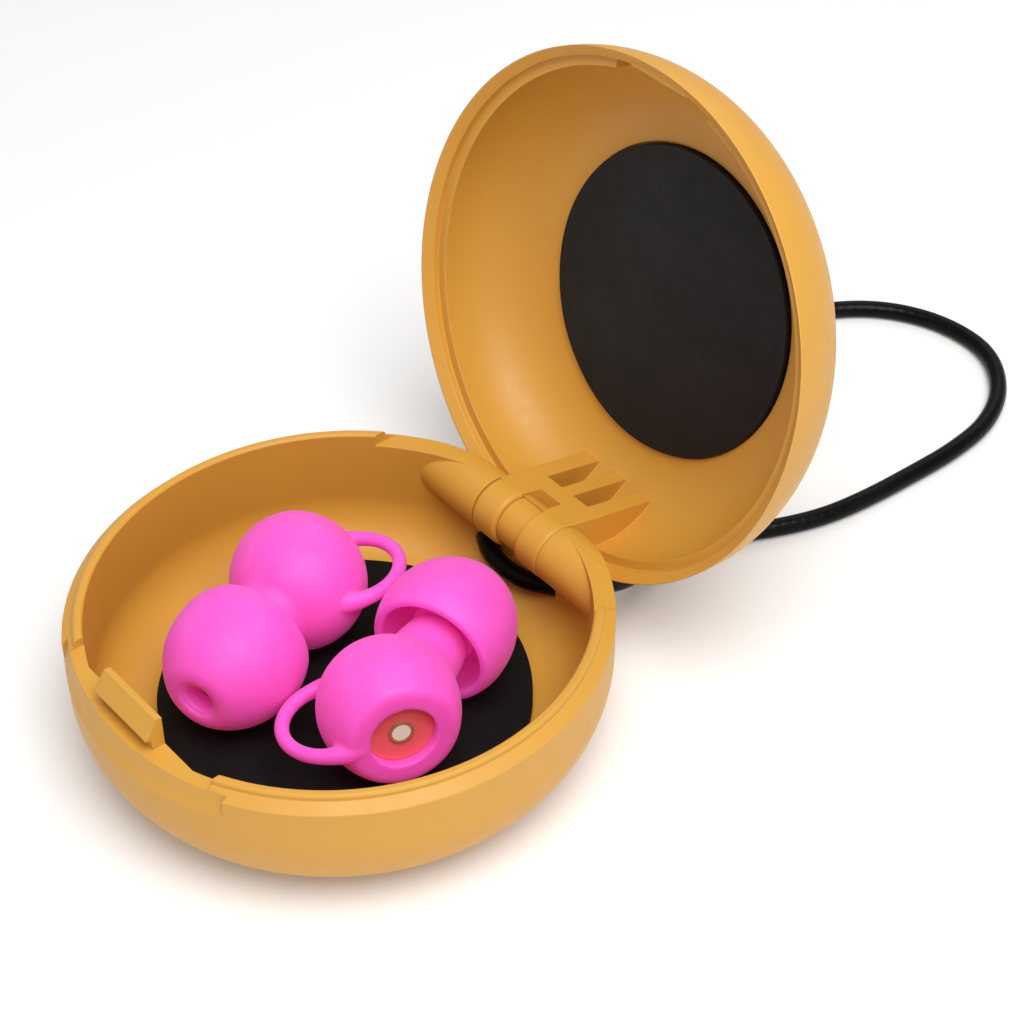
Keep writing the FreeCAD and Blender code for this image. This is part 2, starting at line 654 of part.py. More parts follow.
sleeve_corners = [
    ("-joiner_length / 2", "cord_radius"),
    ("joiner_length / 2", "cord_radius"),
    ("joiner_length / 2", "joiner_radius - joiner_edge", "joiner_edge"),
    ("joiner_length / 2 - joiner_edge", "joiner_radius"),
]
for crimp in ("joiner_length / 4", "-joiner_length / 4"):
    sleeve_corners.append((crimp + " + crimp_half", "joiner_radius", "-crimp_roundness"))
    sleeve_corners.append((crimp + " - crimp_half", "joiner_radius"))
sleeve_corners.append(("-joiner_length / 2 + joiner_edge", "joiner_radius", "joiner_edge"))
sleeve_corners.append(("-joiner_length / 2", "joiner_radius - joiner_edge"))
sleeve = turned("joiner_sleeve", "XY_Plane", "H_Axis", sleeve_corners)
joiner_middle = (route[0] + route[-1]) * 0.5
joiner_turn = FreeCAD.Rotation(FreeCAD.Vector(1, 0, 0), route[1] - route[-2])
finished(sleeve, "cord_joiner", FreeCAD.Placement(joiner_middle, joiner_turn))


# ---------------------------------------------------------------- ear plugs
# An ear plug is drawn lying on its side: the stem runs along +X from the centre of the round
# body, the ring handle is beside the body at +Y, and the flat face looks between -X and -Y.

FACE_TURN = FreeCAD.Rotation(FreeCAD.Vector(0, 0, 1), size("face_angle"))


def facing(name, radius, back, front):
    """Cylinder along the normal of the flat face, between two distances from the body's centre."""
    cylinder = doc.addObject("Part::Cylinder", name)
    bound(cylinder, Radius=radius, Height=f"({front}) - ({back})")
    normal = FACE_TURN.multVec(FreeCAD.Vector(-1, 0, 0))
    turn = FreeCAD.Rotation(FreeCAD.Vector(0, 0, 1), normal)
    cylinder.Placement = FreeCAD.Placement(normal * size(back), turn)
    return cylinder


def plug_body(side):
    globe = turned(side + "_globe", "XY_Plane", "H_Axis", [
        ("-face_distance", "0"),
        ("-face_distance", "sqrt(body_radius ^ 2 - face_distance ^ 2) - face_inset", "-face_rounding"),
        ("-face_distance + face_fall", "sqrt(body_radius ^ 2 - (face_distance - face_fall) ^ 2)",
         "-body_radius"),
        ("body_radius", "0"),
    ])
    globe.Placement = FreeCAD.Placement(FreeCAD.Vector(0, 0, 0), FACE_TURN)
    stem = turned(side + "_stem", "XY_Plane", "H_Axis", [
        ("stem_start", "0"),
        ("stem_start", "neck_radius + neck_flare - 0.2"),
        ("neck_start", "neck_radius + neck_flare", "flare_roundness"),
        ("neck_end", "neck_radius"),
        ("shoulder_along - shoulder_edge", "shoulder_radius + 0.1", "-shoulder_edge - 0.1"),
        ("shoulder_along", "shoulder_radius - 0.4"),
        ("shoulder_along", "spigot_radius"),
        ("spigot_end - spigot_edge", "spigot_radius"),
        ("spigot_end", "spigot_radius - spigot_edge"),
        ("spigot_end", "0"),
    ])
    handle = doc.addObject("Part::Torus", side + "_handle")
    bound(handle, Radius1="handle_radius", Radius2="handle_bar")
    handle.setExpression("Placement.Base.x", in_sheet("-handle_along"))
    handle.setExpression("Placement.Base.y", in_sheet("handle_aside"))
    solid = joined(side + "_plug_solid", globe, stem, handle)
    recess = facing(side + "_recess", "recess_radius", "filter_back", "face_distance + 2")
    chamber = facing(side + "_chamber", "chamber_radius", "-0.2", "filter_back")
    bore = rod(side + "_bore", "sound_radius", "0", "spigot_end + 1")
    return cut(side + "_plug_finished", solid, joined(side + "_plug_cuts", recess, chamber, bore))


def ear_tip(side):
    return turned(side + "_tip_turned", "XY_Plane", "H_Axis", [
        ("sleeve_back", "spigot_radius + sleeve_gap"),
        ("spigot_end + spigot_play", "spigot_radius + sleeve_gap"),
        ("spigot_end + spigot_play", "tip_hole"),
        ("tip_nose - nose_bend", "tip_hole", "-nose_bend"),
        ("tip_nose", "tip_hole + nose_lip", "nose_round"),
        ("tip_nose - nose_bend", "tip_hole + nose_flank", "tip_radius + 0.25"),
        ("tip_centre", "tip_radius", "tip_radius - 0.2"),
        ("tip_skirt", "tip_skirt_radius"),
        ("tip_skirt", "tip_skirt_radius - skirt_thick"),
        ("tip_skirt + skirt_edge", "tip_skirt_radius - tip_wall", "-(tip_radius - tip_wall)"),
        ("tip_centre", "tip_radius - tip_wall", "-(tip_radius - tip_wall)"),
        ("tip_nose - nose_under", "sleeve_radius"),
        ("sleeve_back", "sleeve_radius"),
    ])


def filter_pieces(side):
    """Housing, ring, core and membrane of the acoustic filter, in the recess of the face."""
    housing = cut(side + "_housing_cut",
                  facing(side + "_housing", "filter_radius", "filter_back", "filter_front"),
                  facing(side + "_housing_hole", "core_ring_radius", "filter_back - 1", "filter_front + 1"))
    ring = cut(side + "_core_ring",
               facing(side + "_core_ring_outer", "core_ring_radius", "filter_back",
                      "filter_front + ring_proud"),
               facing(side + "_core_ring_hole", "core_radius", "filter_back - 1", "filter_front + 1"))
    core = facing(side + "_core", "core_radius", "filter_back", "filter_front + core_proud")
    mesh = facing(side + "_mesh", "chamber_radius", "filter_back - mesh_thick", "filter_back")
    return [(housing, "filter_housing"), (ring, "filter_ring"), (core, "filter_core"), (mesh, "filter_mesh")]


def sound_tube(side):
    return cut(side + "_tube_cut",
               rod(side + "_tube_outer", "sound_radius", "tube_start", "spigot_end"),
               rod(side + "_tube_inner", "sound_radius - tube_wall", "tube_start - 1", "spigot_end + 1"))


# Where each ear plug lies: the body's centre in plan, and the direction of its stem. The body rests
# on the pad, and the ring handle tips a little up or down.
PLUG_HEIGHT = size("base_pad_top + body_radius")
PLUGS = [
    ("left", FreeCAD.Vector(-7.95, 1.15, PLUG_HEIGHT), -67.3, 9.7),
    ("right", FreeCAD.Vector(9.5, -2.2, PLUG_HEIGHT), 113.3, -9.6),
]
for side, centre, heading, roll in PLUGS:
    lying = FreeCAD.Rotation(FreeCAD.Vector(0, 0, 1), heading).multiply(
        FreeCAD.Rotation(FreeCAD.Vector(1, 0, 0), roll))
    place = FreeCAD.Placement(centre, lying)
    finished(plug_body(side), side + "_plug_body", place)
    finished(ear_tip(side), side + "_ear_tip", place)
    for feature, piece in filter_pieces(side):
        finished(feature, f"{side}_{piece}", place)
    finished(sound_tube(side), side + "_sound_tube", place)
    print(side, "stem axis", [round(v, 5) for v in lying.multVec(FreeCAD.Vector(1, 0, 0))])


# ---------------------------------------------------------------- check and write

doc.recompute()
for item in doc.Objects:
    if "Invalid" in item.State or "Error" in item.State:
        raise RuntimeError(f"{item.Name} {item.State}")
os.makedirs("parts", exist_ok=True)
for feature in PARTS:
    shape = feature.Shape
    if shape.isNull() or not shape.isValid() or not shape.Solids:
        raise RuntimeError(f"{feature.Label} has no valid solid")
    print(f"{feature.Label}: {len(shape.Solids)} solid, {shape.Volume:.1f} mm3, box {shape.BoundBox}")
    shape.exportStep(f"parts/{feature.Label}.step")
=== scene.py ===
import math

import bpy
from mathutils import Matrix, Vector, noise


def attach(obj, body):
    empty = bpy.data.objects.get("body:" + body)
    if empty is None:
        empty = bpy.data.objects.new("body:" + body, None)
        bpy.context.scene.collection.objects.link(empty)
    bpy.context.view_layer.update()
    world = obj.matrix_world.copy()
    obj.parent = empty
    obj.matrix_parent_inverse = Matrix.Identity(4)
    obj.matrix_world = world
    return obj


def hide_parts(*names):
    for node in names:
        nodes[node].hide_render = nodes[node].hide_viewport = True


# Looks for a pair of silicone ear plugs in a hinged round case with a cord loop.
# Every object is in metres in the part's own frame. MM turns the millimetres below into metres.

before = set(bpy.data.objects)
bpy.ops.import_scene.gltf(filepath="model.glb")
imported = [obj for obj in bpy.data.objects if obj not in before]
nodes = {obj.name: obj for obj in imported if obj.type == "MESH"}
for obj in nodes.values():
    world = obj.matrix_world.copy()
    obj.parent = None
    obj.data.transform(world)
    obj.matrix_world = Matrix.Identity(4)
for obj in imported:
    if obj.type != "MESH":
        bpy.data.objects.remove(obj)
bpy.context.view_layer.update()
MM = 0.001


# ---------------------------------------------------------------- camera

AIM = Vector((-3.783, 22.645, 8.859)) * MM
CAMERA_DISTANCE = 230.39 * MM
CAMERA_AZIMUTH = 50.391
CAMERA_ELEVATION = 41.489
CAMERA_ROLL = -0.424
SENSOR_WIDTH = 36
FOCAL_LENGTH = 86.75

turn = Matrix.Rotation(math.radians(CAMERA_AZIMUTH), 3, "Z")
tilt = Matrix.Rotation(math.radians(90 - CAMERA_ELEVATION), 3, "X")
roll = Matrix.Rotation(math.radians(CAMERA_ROLL), 3, "Z")
look = turn @ tilt @ roll
lens = bpy.data.cameras.new("camera")
lens.sensor_width = SENSOR_WIDTH
lens.lens = FOCAL_LENGTH
lens.clip_start = 0.01
lens.clip_end = 20
camera = bpy.data.objects.new("camera", lens)
camera.matrix_world = Matrix.Translation(AIM + look @ Vector((0, 0, CAMERA_DISTANCE))) @ look.to_4x4()
bpy.context.collection.objects.link(camera)
bpy.context.scene.camera = camera


# ---------------------------------------------------------------- node materials

# Places of the Mix node's colour sockets, which share their names with its number sockets.
MIX_COLOUR_A = 6
MIX_COLOUR_B = 7
MIX_COLOUR_OUT = 2


def new_material(name):
    """A material with its node tree and its Principled shader."""
    made = bpy.data.materials.new(name)
    made.use_nodes = True
    tree = made.node_tree
    return made, tree, tree.nodes["Principled BSDF"]


def add_node(tree, kind, inputs=None, **settings):
    """A node with its settings and with values or links for its inputs."""
    made = tree.nodes.new(kind)
    for key, value in settings.items():
        setattr(made, key, value)
    for key, value in (inputs or {}).items():
        feed(tree, made.inputs[key], value)
    return made


def feed(tree, socket, value):
    """Link a socket to another, or set its value."""
    if isinstance(value, bpy.types.NodeSocket):
        tree.links.new(value, socket)
    else:
        socket.default_value = value


def opaque(colour):
    """Colour with its alpha."""
    return (*colour, 1.0)


def place_of(tree):
    """Coordinates that stay on the piece, in metres."""
    return add_node(tree, "ShaderNodeTexCoord").outputs["Object"]


def cloud(tree, place, size, detail=2.0, rough=0.5):
    """Noise with features about size metres across."""
    return add_node(tree, "ShaderNodeTexNoise", {
        "Vector": place, "Scale": 1 / size, "Detail": detail, "Roughness": rough}).outputs["Fac"]


def between(tree, factor, low, high):
    """Number from low to high as factor goes from 0.3 to 0.7, where noise mostly lies."""
    return add_node(tree, "ShaderNodeMapRange", {
        "Value": factor, "From Min": 0.3, "From Max": 0.7, "To Min": low, "To Max": high}).outputs["Result"]


def tinted(tree, factor, first, second):
    """Colour between two colours."""
    mix = add_node(tree, "ShaderNodeMix", {"Factor": factor}, data_type="RGBA")
    feed(tree, mix.inputs[MIX_COLOUR_A], opaque(first) if isinstance(first, tuple) else first)
    feed(tree, mix.inputs[MIX_COLOUR_B], opaque(second) if isinstance(second, tuple) else second)
    return mix.outputs[MIX_COLOUR_OUT]


def bumped(tree, height, depth, strength=1.0, normal=None):
    """Normal from a height, with depth in metres."""
    inputs = {"Height": height, "Distance": depth, "Strength": strength}
    if normal:
        inputs["Normal"] = normal
    return add_node(tree, "ShaderNodeBump", inputs).outputs["Normal"]


def rounded_normal(tree, radius):
    """Normal that rounds sharp moulded edges."""
    return add_node(tree, "ShaderNodeBevel", {"Radius": radius}, samples=6).outputs["Normal"]


def edge_factor(tree, radius):
    """1 along sharp edges and 0 on open faces."""
    bevel = rounded_normal(tree, radius)
    face = add_node(tree, "ShaderNodeNewGeometry").outputs["Normal"]
    dot = add_node(tree, "ShaderNodeVectorMath", {0: bevel, 1: face}, operation="DOT_PRODUCT")
    return add_node(tree, "ShaderNodeMapRange", {
        "Value": dot.outputs["Value"], "From Min": 0.99, "From Max": 0.86,
        "To Min": 0.0, "To Max": 1.0}).outputs["Result"]


def case_plastic(name):
    """Satin moulded plastic: faint flow marks, fine grain, and a painted highlight that lightens its edges
    in patches.
    """
    made, tree, shader = new_material(name)
    place = place_of(tree)
    flow = between(tree, cloud(tree, place, 0.018, 3.0), 0.0, 1.0)
    colour = tinted(tree, flow, OCHRE, OCHRE_WARM)
    # Painted highlight: a paler ochre laid in patches along convex and concave edges alike.
    painted_edge_highlight = add_node(tree, "ShaderNodeMath", {
        0: edge_factor(tree, 0.25 * MM), 1: between(tree, cloud(tree, place, 0.003), 0.15, 0.5)},
        operation="MULTIPLY").outputs["Value"]
    feed(tree, shader.inputs["Base Color"], tinted(tree, painted_edge_highlight, colour, OCHRE_EDGE_HIGHLIGHT))
    feed(tree, shader.inputs["Roughness"], between(tree, cloud(tree, place, 0.0012, 4.0), 0.40, 0.50))
    shader.inputs["Specular IOR Level"].default_value = 0.42
    shader.inputs["Subsurface Weight"].default_value = 0.06
    shader.inputs["Subsurface Radius"].default_value = (1.0, 0.5, 0.15)
    shader.inputs["Subsurface Scale"].default_value = 0.8 * MM
    grain = cloud(tree, place, 0.12 * MM, 2.0)
    ripple = cloud(tree, place, 0.006, 1.0)
    smooth = bumped(tree, ripple, 0.04 * MM, 1.0, rounded_normal(tree, 0.16 * MM))
    feed(tree, shader.inputs["Normal"], bumped(tree, grain, 0.004 * MM, 0.6, smooth))
    return made


def silicone(name, colour, deep):
    """Soft matt silicone: light goes into it, a faint painted glow keeps its shade pink, and its skin has a
    very fine grain.
    """
    made, tree, shader = new_material(name)
    place = place_of(tree)
    tone = between(tree, cloud(tree, place, 0.004, 3.0), 0.0, 1.0)
    feed(tree, shader.inputs["Base Color"], tinted(tree, tone, colour, deep))
    feed(tree, shader.inputs["Roughness"], between(tree, cloud(tree, place, 0.0006, 3.0), 0.46, 0.58))
    shader.inputs["Specular IOR Level"].default_value = 0.35
    shader.inputs["Subsurface Weight"].default_value = 0.9
    shader.inputs["Subsurface Radius"].default_value = (1.0, 0.3, 0.7)
    shader.inputs["Subsurface Scale"].default_value = 2.6 * MM
    # Painted light: a faint pink emission stands in for light coming through thin silicone, so its shadows
    # stay pink.
    shader.inputs["Emission Color"].default_value = opaque((0.95, 0.06, 0.45))
    shader.inputs["Emission Strength"].default_value = 0.09
    shader.inputs["Sheen Weight"].default_value = 0.12
    shader.inputs["Sheen Roughness"].default_value = 0.5
    shader.inputs["Sheen Tint"].default_value = opaque((1.0, 0.6, 0.95))
    skin = cloud(tree, place, 0.09 * MM, 2.0)
    soft = cloud(tree, place, 0.0016, 2.0)
    feed(tree, shader.inputs["Normal"], bumped(tree, skin, 0.004 * MM, 0.5, bumped(tree, soft, 0.02 * MM)))
    return made


def foam(name, colour, worn, cell, depth, roughness):
    """Closed-cell foam sheet: small pits over slow dents, with pale dust on the high places."""
    made, tree, shader = new_material(name)
    place = place_of(tree)
    cells = add_node(tree, "ShaderNodeTexVoronoi", {"Vector": place, "Scale": 1 / cell}).outputs["Distance"]
    dents = cloud(tree, place, 8 * cell, 3.0)
    patch = between(tree, cloud(tree, place, 0.007, 4.0, 0.6), 0.0, 1.0)
    high = add_node(tree, "ShaderNodeMath", {0: patch, 1: cells}, operation="MULTIPLY").outputs["Value"]
    feed(tree, shader.inputs["Base Color"], tinted(tree, high, colour, worn))
    feed(tree, shader.inputs["Roughness"], between(tree, dents, roughness - 0.06, roughness + 0.06))
    shader.inputs["Specular IOR Level"].default_value = 0.16
    soft = bumped(tree, dents, 3 * depth)
    feed(tree, shader.inputs["Normal"], bumped(tree, cells, depth, 0.8, soft))
    return made


def hard_plastic(name, colour, second, roughness):
    """Small smooth moulding with faint swirls."""
    made, tree, shader = new_material(name)
    place = place_of(tree)
    swirl = between(tree, cloud(tree, place, 0.0009, 3.0), 0.0, 1.0)
    feed(tree, shader.inputs["Base Color"], tinted(tree, swirl, colour, second))
    feed(tree, shader.inputs["Roughness"],
         between(tree, cloud(tree, place, 0.0003, 3.0), roughness - 0.05, roughness + 0.07))
    fine = cloud(tree, place, 0.08 * MM, 2.0)
    feed(tree, shader.inputs["Normal"],
         bumped(tree, fine, 0.003 * MM, 0.6, rounded_normal(tree, 0.08 * MM)))
    return made


def woven(name, colour, second, pitch):
    """Fine woven mesh."""
    made, tree, shader = new_material(name)
    place = place_of(tree)
    threads = []
    for direction in ("X", "Y"):
        threads.append(add_node(tree, "ShaderNodeTexWave", {"Vector": place, "Scale": 0.31 / pitch},
                                bands_direction=direction).outputs["Fac"])
    weave = add_node(tree, "ShaderNodeMath", {0: threads[0], 1: threads[1]},
                     operation="MULTIPLY").outputs["Value"]
    feed(tree, shader.inputs["Base Color"], tinted(tree, weave, colour, second))
    shader.inputs["Roughness"].default_value = 0.6
    feed(tree, shader.inputs["Normal"], bumped(tree, weave, 0.02 * MM))
    return made


def braided_cord(name, length, radius):
    """Round elastic cord: a fine diamond braid that follows the cord."""
    made, tree, shader = new_material(name)
    along = add_node(tree, "ShaderNodeTexCoord").outputs["UV"]
    strands = []
    for lean in (1, -1):
        turned = add_node(tree, "ShaderNodeMapping", {
            "Vector": along, "Scale": (length / (2 * math.pi * radius), lean, 1.0)})
        strand = add_node(tree, "ShaderNodeTexWave", {"Vector": turned.outputs["Vector"], "Scale": 3.2},
                          bands_direction="DIAGONAL", wave_profile="SIN")
        strands.append(strand.outputs["Fac"])
    braid = add_node(tree, "ShaderNodeMath", {0: strands[0], 1: strands[1]},
                     operation="MAXIMUM").outputs["Value"]
    place = place_of(tree)
    fuzz = cloud(tree, place, 0.1 * MM, 3.0)
    feed(tree, shader.inputs["Base Color"],
         tinted(tree, between(tree, cloud(tree, place, 0.004), 0.0, 1.0), CORD_BLACK, CORD_GREY))
    feed(tree, shader.inputs["Roughness"], between(tree, fuzz, 0.24, 0.36))
    shader.inputs["Specular IOR Level"].default_value = 0.1
    feed(tree, shader.inputs["Normal"],
         bumped(tree, fuzz, 0.006 * MM, 0.5, bumped(tree, braid, 0.03 * MM, 0.5)))
    return made


def drawn_steel(name):
    """Drawn wire: fine lines along X, and soft smudges."""
    made, tree, shader = new_material(name)
    place = place_of(tree)
    stretched = add_node(tree, "ShaderNodeMapping", {"Vector": place, "Scale": (0.05, 1.0, 1.0)})
    lines = cloud(tree, stretched.outputs["Vector"], 0.05 * MM, 3.0)
    feed(tree, shader.inputs["Base Color"], tinted(tree, lines, (0.55, 0.55, 0.56), (0.72, 0.72, 0.73)))
    feed(tree, shader.inputs["Roughness"], between(tree, cloud(tree, place, 0.002, 3.0), 0.22, 0.4))
    shader.inputs["Metallic"].default_value = 1.0
    feed(tree, shader.inputs["Normal"], bumped(tree, lines, 0.004 * MM, 0.5))
    return made


OCHRE = (0.62, 0.315, 0.045)
OCHRE_WARM = (0.66, 0.325, 0.042)
# Paler ochre of the painted edge highlight on the case.
OCHRE_EDGE_HIGHLIGHT = (0.80, 0.47, 0.12)
PINK = (0.96, 0.115, 0.60)
PINK_DEEP = (0.93, 0.095, 0.55)
CORD_BLACK = (0.0015, 0.0015, 0.0016)
CORD_GREY = (0.004, 0.004, 0.0043)


# ---------------------------------------------------------------- cord loop

CORD_DIAMETER = 1.8 * MM
CORD_LENGTH = 152.0 * MM
CORD_ROUTE = [
    (-10.5, 37.6, 1.5), (-9.2, 32.6, 1.5), (-8.8, 28.0, 2.5), (-7.8, 24.0, 4.2), (-5.3, 20.3, 5.3),
    (-1.2, 19.7, 5.0), (2.9, 20.1, 5.7), (5.2, 24.0, 5.2), (5.5, 28.0, 3.2), (3.9, 32.4, 1.2),
    (3.9, 37.4, 0.9), (5.4, 42.2, 0.9), (7.8, 46.7, 0.9), (9.6, 51.4, 0.9), (10.4, 56.8, 0.9),
    (10.7, 62.4, 0.9), (10.9, 68.2, 0.9), (10.2, 74.2, 0.9), (7.3, 79.6, 0.9), (2.2, 83.4, 0.9),
    (-4.2, 83.4, 0.9), (-9.9, 80.7, 0.9), (-13.9, 76.0, 0.9), (-16.0, 70.0, 0.9), (-16.6, 63.6, 0.9),
    (-15.8, 57.0, 0.9), (-14.2, 50.6, 0.9), (-12.2, 44.4, 1.5), (-10.7, 38.4, 1.5),
]

cord_curve = bpy.data.curves.new("cord", "CURVE")
cord_curve.dimensions = "3D"
cord_curve.bevel_depth = CORD_DIAMETER / 2
cord_curve.bevel_resolution = 8
cord_curve.resolution_u = 24
cord_curve.use_fill_caps = True
spline = cord_curve.splines.new("NURBS")
spline.points.add(len(CORD_ROUTE) - 1)
for point, place in zip(spline.points, CORD_ROUTE):
    point.co = (*(Vector(place) * MM), 1.0)
spline.order_u = 3
spline.use_endpoint_u = True
cord = bpy.data.objects.new("cord", cord_curve)
bpy.context.collection.objects.link(cord)
cord_curve.materials.append(braided_cord("cord_braid", CORD_LENGTH, CORD_DIAMETER / 2))
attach(cord, "base")
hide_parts("cord_loop")


# ---------------------------------------------------------------- mesh builders

def sampled(corners, step=0.15):
    """Points through the corners in millimetres, about step apart on arcs. A corner is (x, r), or
    (x, r, radius) where an arc follows, which turns left when its radius is positive."""
    points = []
    for corner, following in zip(corners, corners[1:]):
        start, end = Vector(corner[:2]), Vector(following[:2])
        points.append(start)
        chord = end - start
        if len(corner) == 2:
            count = max(1, int(chord.length / (4 * step)))
            points += [start.lerp(end, k / count) for k in range(1, count)]
            continue
        radius = corner[2]
        rise = math.sqrt(max(radius * radius - chord.length_squared / 4, 0.0))
        side = Vector((-chord.y, chord.x)).normalized()
        centre = (start + end) / 2 + side * math.copysign(rise, radius)
        sweep = 2 * math.asin(min(1.0, chord.length / (2 * abs(radius))))
        count = max(2, int(abs(radius) * sweep / step))
        for k in range(1, count):
            bend = Matrix.Rotation(math.copysign(sweep * k / count, radius), 2)
            points.append(centre + bend @ (start - centre))
    points.append(Vector(corners[-1][:2]))
    return points


def lathe(name, points, around=96, closed=False):
    """Mesh turned round the X axis from a line of (x, r) points in millimetres."""
    vertices = []
    rings = []
    for point in points:
        if point.y < 1e-6:
            rings.append([len(vertices)])
            vertices.append((point.x * MM, 0.0, 0.0))
            continue
        rings.append(list(range(len(vertices), len(vertices) + around)))
        for k in range(around):
            angle = 2 * math.pi * k / around
            vertices.append((point.x * MM, point.y * math.cos(angle) * MM, point.y * math.sin(angle) * MM))
    faces = []
    pairs = list(zip(rings, rings[1:]))
    if closed:
        pairs.append((rings[-1], rings[0]))
    for first, second in pairs:
        for k in range(around):
            after = (k + 1) % around
            if len(first) == 1:
                faces.append((first[0], second[after], second[k]))
            elif len(second) == 1:
                faces.append((first[k], first[after], second[0]))
            else:
                faces.append((first[k], first[after], second[after], second[k]))
    return new_mesh(name, vertices, faces)


def new_mesh(name, vertices, faces):
    """Object with a mesh of these vertices, in metres."""
    data = bpy.data.meshes.new(name)
    data.from_pydata(vertices, [], faces)
    data.update()
    made = bpy.data.objects.new(name, data)
    bpy.context.collection.objects.link(made)
    return made


def ring_tube(name, centre, ring_radius, bar_radius, around=144, section=24):
    """Closed ring in the XY plane; bar_radius gives the bar's radius in millimetres at each point."""
    vertices = []
    for k in range(around):
        angle = 2 * math.pi * k / around
        out = Vector((math.cos(angle), math.sin(angle), 0.0))
        middle = centre + out * ring_radius
        bar = bar_radius(middle)
        for j in range(section):
            lean = 2 * math.pi * j / section
            offset = (out * math.cos(lean) + Vector((0, 0, 1)) * math.sin(lean)) * bar
            vertices.append((middle + offset) * MM)
    faces = []
    for k in range(around):
        for j in range(section):
            right, up = (k + 1) % around, (j + 1) % section
            faces.append((k * section + j, right * section + j, right * section + up, k * section + up))
    return new_mesh(name, vertices, faces)


def applied(piece, kind, **settings):
    """Add a modifier, set it, and apply it."""
    modifier = piece.modifiers.new(kind.lower(), kind)
    for key, value in settings.items():
        setattr(modifier, key, value)
    depsgraph = bpy.context.evaluated_depsgraph_get()
    data = bpy.data.meshes.new_from_object(piece.evaluated_get(depsgraph))
    piece.modifiers.clear()
    old = piece.data
    piece.data = data
    bpy.data.meshes.remove(old)
    return piece


def merged(name, pieces):
    """One object from several meshes."""
    vertices = []
    faces = []
    for piece in pieces:
        start = len(vertices)
        vertices += [piece.matrix_world @ v.co for v in piece.data.vertices]
        faces += [tuple(start + v for v in face.vertices) for face in piece.data.polygons]
        bpy.data.objects.remove(piece)
    return new_mesh(name, vertices, faces)


def moved(piece, matrix):
    """Move a mesh's vertices, with the object left at the origin."""
    piece.data.transform(matrix)
    piece.data.update()
    return piece


def smooth(piece, material):
    """Shade smooth, with one material."""
    piece.data.polygons.foreach_set("use_smooth", [True] * len(piece.data.polygons))
    piece.data.materials.clear()
    piece.data.materials.append(material)
    return piece


def drilled(piece, cutter):
    """Cut a hole and remove the cutter."""
    applied(piece, "BOOLEAN", operation="DIFFERENCE", object=cutter, solver="EXACT")
    bpy.data.objects.remove(cutter)
    return piece


# ---------------------------------------------------------------- ear plugs

BODY_RADIUS = 6.2
FACE_DISTANCE = 4.6
FACE_RADIUS = 4.2
FACE_ROUNDING = 1.0
FACE_FALL = 0.455
CUP_RADIUS = 5.04
CUP_ROUNDNESS = 8.0
FACE_ANGLE = 47.3
FILTER_BACK = 2.2
RECESS_RADIUS = 2.95
CHAMBER_RADIUS = 1.6
SOUND_RADIUS = 1.2
HANDLE_CENTRE = Vector((-2.85, 3.69, 0.0))
HANDLE_RADIUS = 4.6
HANDLE_BAR = 0.66
HANDLE_FLARE = 0.3
FLARE_LENGTH = 0.9
FIRST_VOXEL = 0.14
LAST_VOXEL = 0.11
FACE_TURN = Matrix.Rotation(math.radians(FACE_ANGLE), 4, "Z")
# From inside the round body: the neck, its shoulder, and the spigot that the tip sits on.
STEM_OUTLINE = [
    (2, 0), (2, 3.9), (4.6, 4.1, 2.6), (6.4, 3.3), (8.7, 2.95, -0.6), (9.2, 2.45), (9.2, 2.27),
    (14.8, 2.27), (15.1, 1.97), (15.1, 0),
]
# The sleeve's inside, the sound hole, the nose, the flank, the skirt's edge, and its inside.
TIP_OUTLINE = [
    (9.6, 2.3), (15.2, 2.3), (15.2, 1.45),
    (16.45, 1.45, -0.3), (16.7, 1.75), (16.75, 2.2, 2.03), (16.3, 3.45, 7.37),
    (10.6, 6.15, 5.95), (7.6, 5.60, 0.3), (7.45, 5.28, 0.3), (7.75, 4.85, -5.4),
    (10.6, 5.4, -5.4), (15.05, 3.0), (9.9, 3.0, 0.3), (9.6, 2.7), (9.6, 2.3),
]
TIP_STEP = 0.07


def flared(point):
    """Radius of the handle's bar, thicker where it grows out of the round body."""
    outside = max(0.0, point.length - BODY_RADIUS)
    return HANDLE_BAR + HANDLE_FLARE * math.exp(-(outside / FLARE_LENGTH) ** 1.5)


def cutting_rod(name, start, end, radius):
    """Round rod along the X axis, in millimetres."""
    return lathe(name, [Vector(p) for p in ((start, 0), (start, radius), (end, radius), (end, 0))])


def plug_body(name):
    """Round body with its cut face at the back, the stem, the ring handle, and the bores."""
    globe = lathe("globe", sampled([
        (-FACE_DISTANCE, 0),
        (-FACE_DISTANCE, FACE_RADIUS, -FACE_ROUNDING),
        (-FACE_DISTANCE + FACE_FALL, CUP_RADIUS, -CUP_ROUNDNESS),
        (0, BODY_RADIUS, -BODY_RADIUS),
        (BODY_RADIUS, 0),
    ]))
    moved(globe, FACE_TURN)
    stem = lathe("stem", sampled(STEM_OUTLINE))
    handle = ring_tube("handle", HANDLE_CENTRE, HANDLE_RADIUS, flared)
    body = merged(name, [globe, stem, handle])
    applied(body, "REMESH", mode="VOXEL", voxel_size=FIRST_VOXEL * MM)
    applied(body, "SMOOTH", factor=0.5, iterations=10)
    towards_face = FACE_TURN @ Matrix.Rotation(math.pi, 4, "Z")
    recess = cutting_rod("recess", FILTER_BACK, 7, RECESS_RADIUS)
    chamber = cutting_rod("chamber", -0.2, 3, CHAMBER_RADIUS)
    bore = cutting_rod("bore", 0, 17, SOUND_RADIUS)
    for cutter in (recess, chamber):
        moved(cutter, towards_face)
    for cutter in (recess, chamber, bore):
        drilled(body, cutter)
    applied(body, "REMESH", mode="VOXEL", voxel_size=LAST_VOXEL * MM)
    applied(body, "SMOOTH", factor=0.5, iterations=4)
    return body


def ear_tip(name):
    """Flanged tip: an open skirt at the back, a round dome, and a lipped sound hole in front."""
    return lathe(name, sampled(TIP_OUTLINE, TIP_STEP)[:-1], around=128, closed=True)


